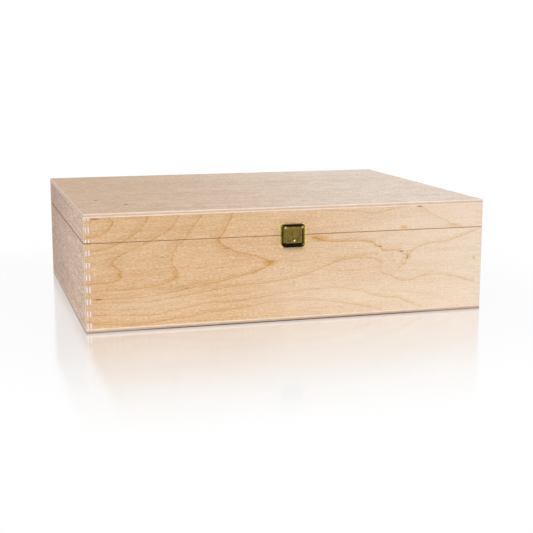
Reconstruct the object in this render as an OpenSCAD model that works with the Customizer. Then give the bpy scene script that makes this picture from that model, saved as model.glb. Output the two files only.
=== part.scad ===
// Flat plywood box for three wine bottles. Four finger-jointed boards with a panel glued
// under them and another over them, a lid sawn off the glued box, two butt hinges at the
// back and a sprung clasp at the front.
// X runs along the front, Y to the back, Z up. The origin is the middle of the underside.

/* [Box] */
// Outside width, along the front
box_w = 350; // [300:1:420]
// Outside depth, front to back, without clasp and hinges
box_d = 280; // [230:1:340]
// Height of the boards of the box
body_h = 70; // [60:0.5:100]
// Height of the boards of the lid
lid_h = 20.5; // [18:0.5:45]
// Thickness of the boards
wall_t = 6; // [5.5:0.5:10]
// Thickness of the top and bottom panels
panel_t = 3.5; // [3:0.5:6]
// Wood lost to the saw between box and lid
saw_kerf = 1.5; // [1:0.1:3]
// Gap that the hinges leave between the box and the closed lid
lid_gap = 0.3; // [0.1:0.1:0.6]
// Chamfer that breaks the outside edges
edge_break = 0.5; // [0.2:0.1:1]
// Chamfer on the sawn edges at the seam
seam_break = 0.3; // [0.1:0.1:0.5]

/* [Finger joints] */
// Height of one finger
finger_w = 5; // [4:0.5:12]
// Glue line between two fingers
finger_gap = 0.1; // [0.04:0.02:0.2]

/* [Dividers] */
// Thickness of a divider
divider_t = 4; // [3:0.5:6]
// Distance from the box's rim down to a divider's top edge
divider_drop = 15; // [5:1:40]
// Depth of the grooves that hold the dividers
groove_depth = 2; // [1:0.5:3]
// Play of a divider in its grooves
groove_gap = 0.1; // [0.05:0.05:0.3]

/* [Hinges] */
// Length of a hinge
hinge_l = 30; // [24:1:50]
// Distance from the box's end to a hinge's middle
hinge_inset = 65; // [30:1:100]
// Height of a leaf, from the hinge's axis
leaf_h = 10; // [8:0.5:14]
// Thickness of a leaf
leaf_t = 0.9; // [0.7:0.1:1.2]
// Radius of a leaf's free corners
leaf_r = 1.5; // [0.5:0.1:2.5]
// Outside radius of the knuckles
knuckle_r = 1.6; // [1.4:0.1:2.2]
// Number of knuckles
knuckle_n = 5; // [3:2:7]
// Gap between two knuckles
knuckle_gap = 0.2; // [0.1:0.05:0.4]
// Gap between the knuckles and the wood
wood_gap = 0.3; // [0.2:0.05:0.5]
// Radius of a hinge pin
hinge_pin_r = 0.8; // [0.6:0.05:0.9]
// Radius of a hinge pin's riveted ends
rivet_r = 1.15; // [1:0.05:1.3]
// Height of a hinge pin's riveted ends
rivet_h = 0.4; // [0.2:0.1:0.8]

/* [Nails] */
// Radius of a nail's shank
nail_r = 0.6; // [0.4:0.1:0.8]
// Length of a nail in the wood
nail_l = 5; // [4:0.5:5.5]
// Radius of a nail's head
nail_head_r = 1.3; // [1:0.1:1.6]
// Height of a nail's domed head
nail_head_h = 0.6; // [0.4:0.1:0.8]

/* [Clasp] */
// Width of the two plates on the wood
plate_w = 24; // [22:0.5:34]
// Height of the clasp above the seam
plate_rise = 9.7; // [9:0.1:14]
// Depth of the clasp below the seam
plate_drop = 11; // [10:0.1:18]
// Thickness of the two plates
plate_t = 0.6; // [0.5:0.1:1]
// Distance from each plate to the seam
plate_gap = 0.2; // [0.1:0.1:0.5]
// Radius of the plates' upper corners
plate_top_r = 2; // [0.5:0.1:3]
// Radius of the plates' lower corners
plate_bottom_r = 3; // [0.5:0.1:4]
// Plate that shows at each side of the cover
cover_side = 2; // [1:0.1:3]
// Plate that shows above the cover
cover_above = 0.5; // [0.3:0.1:1.5]
// Plate that shows below the cover
cover_below = 1; // [0.5:0.1:2]
// Thickness of the cover's sheet
sheet_t = 0.5; // [0.4:0.05:0.6]
// Gap between the cover and what it moves past
cover_gap = 0.2; // [0.15:0.05:0.3]
// Radius of the cover's upper corners
cover_top_r = 1.4; // [0.8:0.1:1.5]
// Radius of the cover's lower corners
cover_bottom_r = 3; // [0.8:0.1:4]
// Radius of the clasp's pin
clasp_pin_r = 0.4; // [0.3:0.05:0.5]
// Length of the pin's ends outside the cover
pin_end = 0.3; // [0.1:0.1:0.5]
// Radius of the ears round the pin
ear_r = 0.8; // [0.7:0.05:1]
// Thickness of the ears
ear_t = 0.6; // [0.5:0.1:1]
// Height of the ears, below the pin
ear_h = 3; // [1.5:0.1:4]
// Border at each side of the cover's raised field
field_side = 2.6; // [1.5:0.1:3.5]
// Border above the raised field
field_above = 1.6; // [1.5:0.1:3.5]
// Border below the raised field
field_below = 3; // [1.5:0.1:3.5]
// Height of the raised field
field_rise = 0.6; // [0.3:0.1:1]
// Radius of the dimple at the face
dimple_r = 1.5; // [1:0.1:2]
// Depth of the dimple
dimple_depth = 0.8; // [0.5:0.1:1]
// Height of the dimple above the cover's lower edge
dimple_up = 6.2; // [5:0.1:6.6]
// Width of the catch
catch_w = 8; // [5:0.5:9]
// Height of the catch at the plate
catch_h = 4; // [3:0.1:4.4]
// Gap between the catch's nose and the dimple
catch_gap = 0.25; // [0.15:0.05:0.4]

/* [Pins in bores] */
// Radial clearance of a bore that turns on its pin
run_gap = 0.05; // [0.02:0.01:0.1]

/* [Hidden] */
$fn = 48;

// Spare length of a cutter past the face that it cuts
over = 1;
rim_z = panel_t + body_h;
lid_foot_z = rim_z + lid_gap;
seam_z = rim_z + lid_gap / 2;
box_h = lid_foot_z + lid_h + panel_t;
inner_w = box_w - 2 * wall_t;
inner_d = box_d - 2 * wall_t;
// A tier of boards: where it stands, where its foot is in the finger pattern, its height and
// where its sawn edge is. The pattern runs on across the saw cut, because the lid was sawn off
// the glued box.
BODY = [panel_t, 0, body_h, rim_z];
LID = [lid_foot_z, body_h + saw_kerf, lid_h, lid_foot_z];
// Bands of the pattern, from the bottom up: even ones are fingers of the side boards
SIDE_FINGERS = 0;
FRONT_FINGERS = 1;

divider_h = body_h - divider_drop;
bay_d = (inner_d - 2 * divider_t) / 3;
divider_y = (bay_d + divider_t) / 2;

hinge_x = box_w / 2 - hinge_inset;
axis_out = knuckle_r + wood_gap;
knuckle_l = hinge_l / knuckle_n;
leaf_edge = knuckle_r + wood_gap;
hinge_nail_x = hinge_l / 2 - 4 * nail_head_r;
hinge_nail_z = (leaf_h + leaf_edge) / 2;

cover_w = plate_w - 2 * cover_side;
cover_top = seam_z + plate_rise - cover_above;
cover_bottom = seam_z - plate_drop + cover_below;
roll_in_r = ear_r + cover_gap;
roll_r = roll_in_r + sheet_t;
pin_z = cover_top - roll_r;
pin_out = plate_t + cover_gap + roll_r;
face_out = pin_out + roll_r;
field_out = face_out + field_rise;
dimple_z = cover_bottom + dimple_up;
dimple_ball_r = (dimple_r * dimple_r + dimple_depth * dimple_depth) / (2 * dimple_depth);
dimple_ball_out = field_out - dimple_depth + dimple_ball_r;
nose_out = dimple_ball_out - dimple_ball_r - sheet_t - catch_gap;
catch_z = dimple_z + dimple_r / 2;
ear_x = cover_w / 2 - sheet_t - cover_gap;
clasp_nail_x = catch_w / 2 + catch_gap + nail_head_r;
lid_nail_z = seam_z + plate_gap + 2 * nail_head_r;
keeper_nail_z = cover_bottom + sheet_t + 1.5 * nail_head_r;

WOOD = [0.87, 0.75, 0.58];
PANEL_WOOD = [0.82, 0.72, 0.59];
DIVIDER_WOOD = [0.86, 0.77, 0.63];
HINGE_BRASS = [0.76, 0.62, 0.32];
CLASP_BRASS = [0.50, 0.41, 0.18];
CLASP_COVER = [0.36, 0.30, 0.14];

// Y 0 is the front of the wood and +Y points out of it
module on_front() {
    translate([0, -box_d / 2, 0])
        mirror([0, 1, 0])
            children();
}

// Y 0 is the back of the wood, +Y points out of it and Z 0 is the seam
module on_back(side) {
    translate([side * hinge_x, box_d / 2, seam_z])
        children();
}

// A square bar along X that takes a chamfer of that size off the edge it is centred on
module edge_bar(length, chamfer) {
    rotate([45, 0, 0])
        cube([length, sqrt(2) * chamfer, sqrt(2) * chamfer], center = true);
}

// Chamfers all round the box at one height
module rim_break(z, chamfer) {
    for (side = [-1, 1]) {
        translate([0, side * box_d / 2, z])
            edge_bar(box_w + 2 * over, chamfer);
        translate([side * box_w / 2, 0, z])
            rotate([0, 0, 90])
                edge_bar(box_d + 2 * over, chamfer);
    }
}

// Chamfers on the four upright corners
module corner_break() {
    for (x = [-1, 1], y = [-1, 1])
        translate([x * box_w / 2, y * box_d / 2, box_h / 2])
            rotate([0, 90, 0])
                edge_bar(box_h + 2 * over, edge_break);
}

// Slots at the four corners where the other boards' fingers pass, reach is their plan size
module finger_slots(tier, fingers, reach) {
    foot = tier[1];
    for (k = [floor(foot / finger_w) : ceil((foot + tier[2]) / finger_w) - 1])
        if (k % 2 == fingers)
            for (x = [-1, 1], y = [-1, 1])
                translate([x * box_w / 2, y * box_d / 2, tier[0] - foot + (k + 0.5) * finger_w])
                    cube([reach[0], reach[1], finger_w + finger_gap], center = true);
}

// A board along X, at the front (side -1) or at the back (side 1)
module long_board(side, tier) {
    difference() {
        translate([0, side * (box_d - wall_t) / 2, tier[0] + tier[2] / 2])
            cube([box_w, wall_t, tier[2]], center = true);
        finger_slots(tier, SIDE_FINGERS, [2 * wall_t, 4 * wall_t]);
        corner_break();
        rim_break(tier[3], seam_break);
    }
}

// A board along Y, at the left (side -1) or at the right (side 1)
module cross_board(side, tier) {
    difference() {
        translate([side * (box_w - wall_t) / 2, 0, tier[0] + tier[2] / 2])
            cube([wall_t, box_d, tier[2]], center = true);
        finger_slots(tier, FRONT_FINGERS, [4 * wall_t, 2 * wall_t]);
        corner_break();
        rim_break(tier[3], seam_break);
    }
}

// A divider between two bays, larger by grow on every side for its grooves
module divider(side, grow) {
    translate([0, side * divider_y, panel_t + divider_h / 2])
        cube([inner_w + 2 * groove_depth, divider_t + 2 * grow, divider_h + 2 * grow], center = true);
}

// A box board along Y with its two grooves
module grooved_board(side) {
    difference() {
        cross_board(side, BODY);
        for (bay = [-1, 1])
            divider(bay, groove_gap);
    }
}

// A panel over or under the boards, low is its lower face
module panel(low, outer_face) {
    difference() {
        translate([0, 0, low + panel_t / 2])
            cube([box_w, box_d, panel_t], center = true);
        corner_break();
        rim_break(outer_face, edge_break);
    }
}

// A nail along Y: the head's seat is at seat, the point reaches into the wood below Y 0
module nail(seat) {
    rotate([90, 0, 0])
        translate([0, 0, -seat])
            cylinder(r = nail_r, h = nail_l + seat);
    ball_r = (nail_head_r * nail_head_r + nail_head_h * nail_head_h) / (2 * nail_head_h);
    intersection() {
        translate([0, seat + nail_head_h - ball_r, 0])
            sphere(r = ball_r);
        translate([-ball_r, seat, -ball_r])
            cube([2 * ball_r, nail_head_h, 2 * ball_r]);
    }
}

// A nail's hole, along Y from Y from to Y to
module nail_hole(from, to, r) {
    translate([0, to, 0])
        rotate([90, 0, 0])
            cylinder(r = r, h = to - from);
}

module at_hinge_nails(way) {
    for (x = [-hinge_nail_x, hinge_nail_x])
        translate([x, 0, way * hinge_nail_z])
            children();
}

module at_lid_nails() {
    for (x = [-clasp_nail_x, clasp_nail_x])
        translate([x, 0, lid_nail_z])
            children();
}

module at_keeper_nails() {
    for (x = [-clasp_nail_x, clasp_nail_x])
        translate([x, 0, keeper_nail_z])
            children();
}

// An upright outline with its foot at height 0 and its own radius on each pair of corners
module plate_outline(width, height, top_r, bottom_r) {
    translate([-width / 2, bottom_r])
        square([width, height - top_r - bottom_r]);
    translate([-width / 2 + top_r, height / 2])
        square([width - 2 * top_r, height / 2]);
    translate([-width / 2 + bottom_r, 0])
        square([width - 2 * bottom_r, height / 2]);
    for (side = [-1, 1]) {
        translate([side * (width / 2 - top_r), height - top_r])
            circle(r = top_r);
        translate([side * (width / 2 - bottom_r), bottom_r])
            circle(r = bottom_r);
    }
}

// An XZ outline made solid from Y from to Y to
module stand_up(from, to) {
    translate([0, to, 0])
        rotate([90, 0, 0])
            linear_extrude(height = to - from)
                children();
}

// A rod along X through the clasp's pin axis
module pin_rod(r, length) {
    translate([0, pin_out, pin_z])
        rotate([0, 90, 0])
            cylinder(r = r, h = length, center = true);
}

// The leaf on the box (way -1) or on the lid (way 1), its knuckles at the places of own
module leaf(way, own) {
    first = -hinge_l / 2;
    difference() {
        union() {
            stand_up(0, leaf_t)
                mirror([0, way < 0 ? 1 : 0])
                    difference() {
                        plate_outline(hinge_l, leaf_h, leaf_r, leaf_r);
                        translate([-hinge_l, 0])
                            square([2 * hinge_l, leaf_edge]);
                    }
            for (k = own) {
                translate([first + k * knuckle_l + knuckle_gap / 2, 0, way < 0 ? -leaf_h / 2 : 0])
                    cube([knuckle_l - knuckle_gap, leaf_t, leaf_h / 2]);
                translate([first + k * knuckle_l + knuckle_gap / 2, axis_out, 0])
                    rotate([0, 90, 0])
                        cylinder(r = knuckle_r, h = knuckle_l - knuckle_gap);
            }
        }
        translate([0, axis_out, 0])
            rotate([0, 90, 0])
                cylinder(r = hinge_pin_r + (way < 0 ? 0 : run_gap), h = hinge_l + 2 * over, center = true);
        at_hinge_nails(way)
            nail_hole(-over, leaf_t + over, nail_r);
    }
}

module body_leaf(side) {
    color(HINGE_BRASS)
        on_back(side)
            leaf(-1, [0 : 2 : knuckle_n - 1]);
}

module lid_leaf(side) {
    color(HINGE_BRASS)
        on_back(side)
            leaf(1, [1 : 2 : knuckle_n - 2]);
}

module hinge_pin(side) {
    color(HINGE_BRASS)
        on_back(side)
            translate([0, axis_out, 0])
                rotate([0, 90, 0]) {
                    cylinder(r = hinge_pin_r, h = hinge_l, center = true);
                    for (end = [-1, 1])
                        translate([0, 0, end * (hinge_l - knuckle_gap + rivet_h) / 2])
                            cylinder(r = rivet_r, h = rivet_h, center = true);
                }
}

module bottom_panel() {
    color(PANEL_WOOD)
        panel(0, 0);
}

module front_board() {
    color(WOOD)
        difference() {
            long_board(-1, BODY);
            on_front()
                at_keeper_nails()
                    nail_hole(-nail_l, over, nail_r);
        }
}

module back_board() {
    color(WOOD)
        difference() {
            long_board(1, BODY);
            for (side = [-1, 1])
                on_back(side)
                    at_hinge_nails(-1)
                        nail_hole(-nail_l, over, nail_r);
        }
}

module left_board() {
    color(WOOD)
        grooved_board(-1);
}

module right_board() {
    color(WOOD)
        grooved_board(1);
}

module front_divider() {
    color(DIVIDER_WOOD)
        divider(-1, 0);
}

module rear_divider() {
    color(DIVIDER_WOOD)
        divider(1, 0);
}

module lid_panel() {
    color(PANEL_WOOD)
        panel(box_h - panel_t, box_h);
}

module lid_front_rail() {
    color(WOOD)
        difference() {
            long_board(-1, LID);
            on_front()
                at_lid_nails()
                    nail_hole(-nail_l, over, nail_r);
        }
}

module lid_back_rail() {
    color(WOOD)
        difference() {
            long_board(1, LID);
            for (side = [-1, 1])
                on_back(side)
                    at_hinge_nails(1)
                        nail_hole(-nail_l, over, nail_r);
        }
}

module lid_left_rail() {
    color(WOOD)
        cross_board(-1, LID);
}

module lid_right_rail() {
    color(WOOD)
        cross_board(1, LID);
}

module hinge_body_nails() {
    color(HINGE_BRASS)
        for (side = [-1, 1])
            on_back(side)
                at_hinge_nails(-1)
                    nail(leaf_t);
}

module hinge_lid_nails() {
    color(HINGE_BRASS)
        for (side = [-1, 1])
            on_back(side)
                at_hinge_nails(1)
                    nail(leaf_t);
}

// Plate on the lid with two ears folded out of it, which hold the pin
module clasp_lid_plate() {
    foot = seam_z + plate_gap;
    color(CLASP_BRASS)
        on_front()
            difference() {
                union() {
                    stand_up(0, plate_t)
                        intersection() {
                            translate([0, seam_z - plate_drop])
                                plate_outline(plate_w, plate_rise + plate_drop, plate_top_r, plate_bottom_r);
                            translate([-plate_w, foot])
                                square([2 * plate_w, plate_rise]);
                        }
                    for (side = [-1, 1])
                        translate([side * (ear_x - ear_t / 2), 0, 0])
                            ear();
                }
                pin_rod(clasp_pin_r, 2 * plate_w);
                at_lid_nails()
                    nail_hole(-over, plate_t + over, nail_r);
            }
}

// One ear. Its upper edge is the stop for the cover's rolled edge at the end of its swing.
module ear() {
    translate([-ear_t / 2, 0, pin_z - ear_h])
        cube([ear_t, pin_out, ear_h - cover_gap]);
    pin_rod(ear_r, ear_t);
}

module clasp_lid_nails() {
    color(CLASP_BRASS)
        on_front()
            at_lid_nails()
                nail(plate_t);
}

module clasp_pin() {
    color(CLASP_BRASS)
        on_front()
            pin_rod(clasp_pin_r, cover_w + 2 * pin_end);
}

// The cover's form, or with inset the form of the hollow in it
module cover_form(inset, back) {
    width = cover_w - 2 * inset;
    foot = cover_bottom + inset;
    intersection() {
        union() {
            translate([-width / 2, back, foot])
                cube([width, face_out - inset - back, pin_z - foot]);
            pin_rod(roll_r - inset, width);
        }
        translate([0, 0, foot])
            stand_up(back - over, field_out)
                plate_outline(width, cover_top - cover_bottom - 2 * inset,
                    inset > 0 ? inset / 2 : cover_top_r, cover_bottom_r - inset);
    }
}

// The raised field: two crossed bevelled bars
module cover_field(inset) {
    half_w = cover_w / 2 - field_side - inset;
    low = cover_bottom + field_below + inset;
    high = cover_top - field_above - inset;
    root = face_out - inset - sheet_t / 2;
    face = field_out - inset;
    slope = face - root;
    intersection() {
        translate([-half_w, 0, 0])
            rotate([90, 0, 90])
                linear_extrude(height = 2 * half_w)
                    polygon([[root, low], [face, low + slope], [face, high - slope], [root, high]]);
        translate([0, 0, low])
            linear_extrude(height = high - low)
                polygon([[-half_w, root], [-half_w + slope, face], [half_w - slope, face], [half_w, root]]);
    }
}

// Sheet-metal cover, rolled round the pin at its top, with a dimple that snaps over the catch
module clasp_cover() {
    color(CLASP_COVER)
        on_front()
            difference() {
                union() {
                    difference() {
                        union() {
                            cover_form(0, plate_t + cover_gap);
                            cover_field(0);
                        }
                        cover_form(sheet_t, -over);
                        cover_field(sheet_t);
                        // Behind the pin the rolled edge is open for the ears
                        translate([-cover_w / 2 + sheet_t, 0, pin_z - over])
                            cube([cover_w - 2 * sheet_t, pin_out, roll_r + 2 * over]);
                    }
                    dimple_sheet();
                }
                translate([0, dimple_ball_out, dimple_z])
                    sphere(r = dimple_ball_r);
                pin_rod(clasp_pin_r + run_gap, cover_w + 2 * over);
                catch_notch();
            }
}

// The dimple's sheet, which stands in from the cover's inner face
module dimple_sheet() {
    ball_r = dimple_ball_r + sheet_t;
    intersection() {
        translate([0, dimple_ball_out, dimple_z])
            sphere(r = ball_r);
        translate([-ball_r, dimple_ball_out - ball_r, dimple_z - ball_r])
            cube([2 * ball_r, field_out - sheet_t / 2 - dimple_ball_out + ball_r, 2 * ball_r]);
    }
}

// Notch in the cover's lower wall, which lets it past catch and nails and takes a fingernail
module catch_notch() {
    half_w = clasp_nail_x + nail_head_r + catch_gap;
    translate([-half_w, 0, cover_bottom - over])
        cube([2 * half_w, nose_out + catch_gap, over + 2 * sheet_t]);
}

// Plate on the box with the catch, a strip bent out to a nose
module clasp_keeper() {
    color(CLASP_BRASS)
        on_front()
            difference() {
                union() {
                    stand_up(0, plate_t)
                        intersection() {
                            translate([0, seam_z - plate_drop])
                                plate_outline(plate_w, plate_rise + plate_drop, plate_top_r, plate_bottom_r);
                            translate([-plate_w, seam_z - plate_drop - over])
                                square([2 * plate_w, plate_drop + over - plate_gap]);
                        }
                    translate([-catch_w / 2, 0, catch_z])
                        rotate([90, 0, 90])
                            linear_extrude(height = catch_w)
                                catch_profile();
                }
                at_keeper_nails()
                    nail_hole(-over, plate_t + over, nail_r);
            }
}

// The bent strip from the side, its nose level with height 0
module catch_profile() {
    half = catch_h / 2;
    flat = sheet_t / 2;
    root = plate_t / 2;
    difference() {
        polygon([[root, -half], [nose_out, -flat], [nose_out, flat], [root, half]]);
        polygon([[0, -half + sheet_t], [nose_out - sheet_t, 0], [0, half - sheet_t]]);
    }
}

module clasp_keeper_nails() {
    color(CLASP_BRASS)
        on_front()
            at_keeper_nails()
                nail(plate_t);
}

bottom_panel();
front_board();
back_board();
left_board();
right_board();
front_divider();
rear_divider();
lid_panel();
lid_front_rail();
lid_back_rail();
lid_left_rail();
lid_right_rail();
body_leaf(-1);  // left_hinge_body_leaf
lid_leaf(-1);  // left_hinge_lid_leaf
hinge_pin(-1);  // left_hinge_pin
body_leaf(1);  // right_hinge_body_leaf
lid_leaf(1);  // right_hinge_lid_leaf
hinge_pin(1);  // right_hinge_pin
hinge_body_nails();
hinge_lid_nails();
clasp_lid_plate();
clasp_lid_nails();
clasp_pin();
clasp_cover();
clasp_keeper();
clasp_keeper_nails();
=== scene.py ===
import math

import bpy
import numpy as np
from mathutils import Matrix, Vector


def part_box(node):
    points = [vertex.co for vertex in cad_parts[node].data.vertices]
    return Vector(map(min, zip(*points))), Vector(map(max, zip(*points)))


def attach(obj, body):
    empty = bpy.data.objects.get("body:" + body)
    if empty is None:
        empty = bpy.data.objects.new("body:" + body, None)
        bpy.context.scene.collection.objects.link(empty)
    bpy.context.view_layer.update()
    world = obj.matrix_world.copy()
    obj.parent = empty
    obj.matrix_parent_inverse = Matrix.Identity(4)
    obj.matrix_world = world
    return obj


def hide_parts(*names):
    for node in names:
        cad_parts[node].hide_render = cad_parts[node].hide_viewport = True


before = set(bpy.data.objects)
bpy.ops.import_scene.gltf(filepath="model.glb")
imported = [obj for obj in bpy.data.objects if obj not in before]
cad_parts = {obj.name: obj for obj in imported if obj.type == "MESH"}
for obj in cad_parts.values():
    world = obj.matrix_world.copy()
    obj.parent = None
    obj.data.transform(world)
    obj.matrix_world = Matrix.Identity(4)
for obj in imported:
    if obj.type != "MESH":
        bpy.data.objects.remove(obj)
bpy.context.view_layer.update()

# Wooden wine box: birch plywood boards with finger joints, a lid sawn off the glued box,
# brass hinges at the back and a small sprung clasp of aged brass at the front.
# The scene is in metres. The patterns and the clasp's cover are reckoned in millimetres.

MM = 0.001

wood_low = Vector(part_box("bottom_panel")[0])
wood_high = Vector(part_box("lid_panel")[1])
width_mm = (wood_high.x - wood_low.x) / MM
height_mm = (wood_high.z - wood_low.z) / MM


def tone(red, green, blue):
    """A colour as a shader wants it, from the three bytes that a picture editor shows."""
    shares = np.array([red, green, blue]) / 255
    linear = np.where(shares > 0.04045, ((shares + 0.055) / 1.055) ** 2.4, shares / 12.92)
    return (*linear.tolist(), 1.0)


GOLDEN_BIRCH = tone(226, 189, 147)
PALE_BIRCH = tone(242, 221, 199)
GREY_BIRCH = tone(208, 179, 152)
# The left side's back end: partly its own mauve tone, partly painted shade.
SHADED_MAUVE_BIRCH = tone(208, 179, 160)
ROSY_BIRCH = tone(238, 211, 190)
WHITE_BIRCH = tone(232, 217, 204)
RING_STAIN = tone(241, 221, 174)
SHADE_STAIN = tone(241, 228, 208)
FIBRE_STAIN = tone(228, 212, 190)
BAND_STAIN = tone(238, 226, 214)
GOLD_STAIN = tone(240, 216, 150)
PORE_BROWN = tone(150, 104, 66)
KNOT_BROWN = tone(116, 62, 26)
PALE_FLECK = tone(246, 230, 210)
PLAIN_PLIES = (tone(214, 184, 158), tone(232, 212, 192))
COOL_PLIES = (tone(214, 182, 156), tone(244, 228, 216))
FAINT_PLIES = (tone(240, 216, 192), tone(244, 223, 202))
PANEL_PLIES = (tone(242, 222, 204), tone(224, 190, 160))
# Tones that darken the wood beside the lid's cut: partly a saw stain, partly painted shade in the
# gap, darker on the left side
SEAM_STAIN_AND_SHADE = tone(230, 200, 168)
SIDE_SEAM_STAIN_AND_SHADE = tone(138, 104, 76)
# Pale of the softened corners: a painted highlight, partly worn pale end grain
CORNER_HIGHLIGHT_AND_WEAR = tone(250, 236, 222)
GLUE_BROWN = tone(150, 116, 88)
END_PORE = tone(150, 118, 94)
# Painted contact shadow along the boards' foot
FOOT_SHADOW = tone(124, 102, 84)
GOLD_BRASS = tone(248, 224, 148)
BRIGHT_BRASS = tone(226, 198, 126)
DULL_BRASS = tone(188, 158, 88)
PLATED_BRASS = tone(218, 194, 136)
WORN_BRASS = tone(204, 182, 132)
NAIL_BRASS = tone(164, 132, 76)
AGED_BRASS = tone(133, 110, 53)
OLIVE_BRASS = tone(98, 86, 44)
# Black of patina, which on the clasp's cover also paints shade and dark reflections
PATINA_AND_SHADE_BLACK = tone(30, 24, 20)


class Signal:
    """A value in a node tree, which plain operators reckon with."""

    def __init__(self, wires, socket):
        self.wires = wires
        self.socket = socket

    def __add__(self, other):
        return self.wires.math("ADD", self, other)

    def __sub__(self, other):
        return self.wires.math("SUBTRACT", self, other)

    def __rsub__(self, other):
        return self.wires.math("SUBTRACT", other, self)

    def __mul__(self, other):
        return self.wires.math("MULTIPLY", self, other)

    def __truediv__(self, other):
        return self.wires.math("DIVIDE", self, other)

    def __abs__(self):
        return self.wires.math("ABSOLUTE", self)


class Wires:
    """Short calls that add nodes to one tree. Any input is a Signal or a plain value."""

    def __init__(self, tree):
        self.tree = tree

    def feed(self, socket, value):
        """Links a Signal to a socket, or sets the socket to a plain value."""
        if isinstance(value, Signal):
            self.tree.links.new(value.socket, socket)
        elif value is not None:
            socket.default_value = value

    def fill(self, made, **values):
        """Feeds a node's inputs by name, where _ stands for a space."""
        for name, value in values.items():
            self.feed(made.inputs[name.replace("_", " ")], value)
        return made

    def node(self, kind, *values, **settings):
        """A new node with its settings, and its inputs fed in their order."""
        made = self.tree.nodes.new("ShaderNode" + kind)
        for name, value in settings.items():
            setattr(made, name, value)
        for socket, value in zip(made.inputs, values):
            self.feed(socket, value)
        return made

    def out(self, made, name=0):
        """A node's output by name or number."""
        return Signal(self, made.outputs[name])

    def math(self, operation, *values):
        """A sum on numbers."""
        return self.out(self.node("Math", *values, operation=operation))

    def vector(self, operation, *values):
        """A sum on vectors or colours."""
        return self.out(self.node("VectorMath", *values, operation=operation))

    def scaled(self, place, factor):
        """A vector or a colour times a number."""
        return self.vector("SCALE", place, None, None, factor)

    def dot(self, one, other):
        """The dot product of two vectors."""
        made = self.node("VectorMath", one, other, operation="DOT_PRODUCT")
        return self.out(made, "Value")

    def span(self, one, other):
        """The root of the sum of two squares."""
        return self.math("SQRT", one * one + other * other)

    def join(self, along, up, deep):
        """A vector from its three parts."""
        return self.out(self.node("CombineXYZ", along, up, deep))

    def split(self, place):
        """The three parts of a vector."""
        made = self.node("SeparateXYZ", place)
        return [self.out(made, axis) for axis in "XYZ"]

    def step(self, value, low, high):
        """Rises smoothly from 0 at low to 1 at high, which may be the lower of the two."""
        made = self.node("MapRange", value, low, high, 0.0, 1.0, interpolation_type="SMOOTHSTEP")
        return self.out(made)

    def noise(self, place, detail=2.0, roughness=0.5, warp=0.0):
        """Soft noise about 0.5, its lumps about one unit across."""
        made = self.node("TexNoise")
        self.fill(made, Vector=place, Scale=1.0, Detail=detail)
        return self.out(self.fill(made, Roughness=roughness, Distortion=warp))

    def lumps(self, place, along, up, deep=None, **settings):
        """Noise on a place in millimetres, its lumps that long, high and deep."""
        scale = (1 / along, 1 / up, 1 / (deep or up))
        return self.noise(self.vector("MULTIPLY", place, scale), **settings)

    def blend(self, share, first, second, mode="MIX"):
        """The second colour over the first, as strong as the share."""
        made = self.node("Mix", data_type="RGBA", blend_type=mode)
        self.feed(made.inputs[0], share)
        self.feed(made.inputs[6], first)
        self.feed(made.inputs[7], second)
        return self.out(made, 2)

    def between(self, share, first, second):
        """The number that share of the way from the first to the second."""
        made = self.node("Mix", share, None, first, second, data_type="FLOAT")
        return self.out(made, 0)

    def use(self, effect, **values):
        """Places a shared effect and returns its outputs by name."""
        made = self.fill(self.node("Group", node_tree=effect), **values)
        return {socket.name: Signal(self, socket) for socket in made.outputs}


SOCKETS = {1: "NodeSocketFloat", 3: "NodeSocketVector", 4: "NodeSocketColor"}


def effect(name, inputs, outputs, build):
    """A shader node group that materials share. Inputs and outputs are socket names with a
    value of their kind, and build(wires, given) returns the outputs' signals by name."""
    tree = bpy.data.node_groups.new(name, "ShaderNodeTree")

    def add_socket(title, value, way):
        kind = SOCKETS[np.size(value)]
        return tree.interface.new_socket(name=title, in_out=way, socket_type=kind)

    for title, value in inputs.items():
        add_socket(title, value, "INPUT").default_value = value
    for title, value in outputs.items():
        add_socket(title, value, "OUTPUT")
    wires = Wires(tree)
    entry = tree.nodes.new("NodeGroupInput")
    given = {title: Signal(wires, entry.outputs[title]) for title in inputs}
    made = build(wires, given)
    leave = tree.nodes.new("NodeGroupOutput")
    for title in outputs:
        wires.feed(leave.inputs[title], made[title])
    return tree


NOWHERE = (0.0, 0.0, 0.0)
WHITE = (1.0, 1.0, 1.0, 1.0)
FINISH = dict(Colour=WHITE, Roughness=0.5, Height=0.0)


def build_board_place(wires, given):
    """Where a point lies on a board, in millimetres from the board's outer lower left corner:
    along the grain, up across it, and deep into the board. Face and End say how squarely the
    surface there faces along the board's thickness and along its grain."""
    along, deep = given["Along"], given["Deep"]
    up = wires.vector("CROSS_PRODUCT", along, deep)
    offset = wires.vector("SUBTRACT", given["Object"], given["Corner"])
    parts = [wires.dot(offset, axis) / MM for axis in (along, up, deep)]
    return {
        "Place": wires.join(*parts),
        "Face": abs(wires.dot(given["Facing"], deep)),
        "End": abs(wires.dot(given["Facing"], along)),
    }


board_place = effect(
    "board_place",
    dict(Object=NOWHERE, Facing=NOWHERE, Corner=NOWHERE, Along=NOWHERE, Deep=NOWHERE),
    dict(Place=NOWHERE, Face=0.0, End=0.0),
    build_board_place,
)


# How far apart in a pattern two boards lie that follow each other in number
FIGURE_SHIFT_MM = (211.0, 97.0, 43.0)
VENEER_SHIFT_MM = (173.0, 61.0, 29.0)
# The rings of a veneer: their gap, the rings that the hills and swells add, the reach of a line
# and of its dark core, and the step that gives the slope, which never counts as quite level
RING_GAP_MM = 17.0
HILL_RINGS = 4.6
SWELL_RINGS = 0.55
RING_LINE_MM = 0.9
LINE_CORE_MM = 0.1
SLOPE_STEP_MM = 0.5
LEAST_SLOPE_SQUARED = 0.0002


def own_place(wires, given, shift):
    """The place in a pattern, moved by the shift times the board's sample number, so that no
    two boards look alike."""
    return wires.vector("ADD", given["Place"], wires.scaled(shift, given["Sample"]))


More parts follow.
